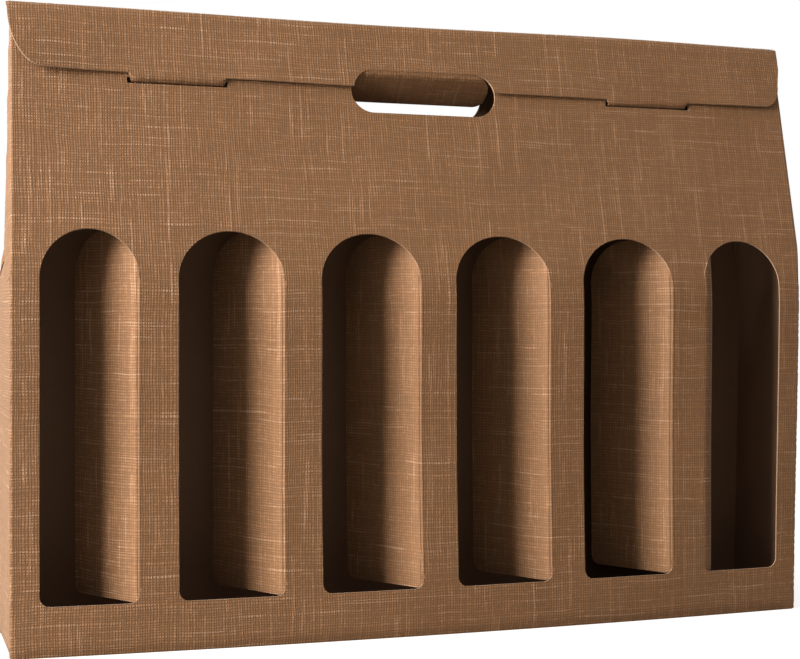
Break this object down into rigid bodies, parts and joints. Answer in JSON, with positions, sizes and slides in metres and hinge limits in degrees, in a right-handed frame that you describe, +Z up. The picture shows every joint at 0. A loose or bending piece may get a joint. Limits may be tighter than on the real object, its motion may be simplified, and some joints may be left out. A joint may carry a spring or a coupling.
{
  "type": "bottle gift box",
  "caption": "Folded gift carton for bottles, with arched windows whose flaps part the bottles, a leaning top, a hand hole and a tuck-over closing flap.",
  "frame": {"origin": "middle of the base, on the surface it stands on", "axes": "+X along the width to the right of the front, +Y from the front to the back, +Z up"},
  "size_m": [0.42, 0.063, 0.31],
  "materials": {
    "linen_board": "linen embossed, matt"
  },
  "bodies": {
    "carton": {"carton": "linen_board"},
    "closing_flap": {"closing_flap": "linen_board"},
    "grip_tongue": {"grip_tongue": "linen_board"}
  },
  "joints": [
    {"name": "flap_hinge", "type": "hinge", "parent": "carton", "child": "closing_flap", "pos_m": [0, 0.00271, 0.30925], "axis": [-1, 0, 0], "range_deg": [0, 150]},
    {"name": "tongue_hinge", "type": "hinge", "parent": "closing_flap", "child": "grip_tongue", "pos_m": [0, -0.00981, 0.28462], "axis": [1, 0, 0], "range_deg": [-63, 25]}
  ]
}
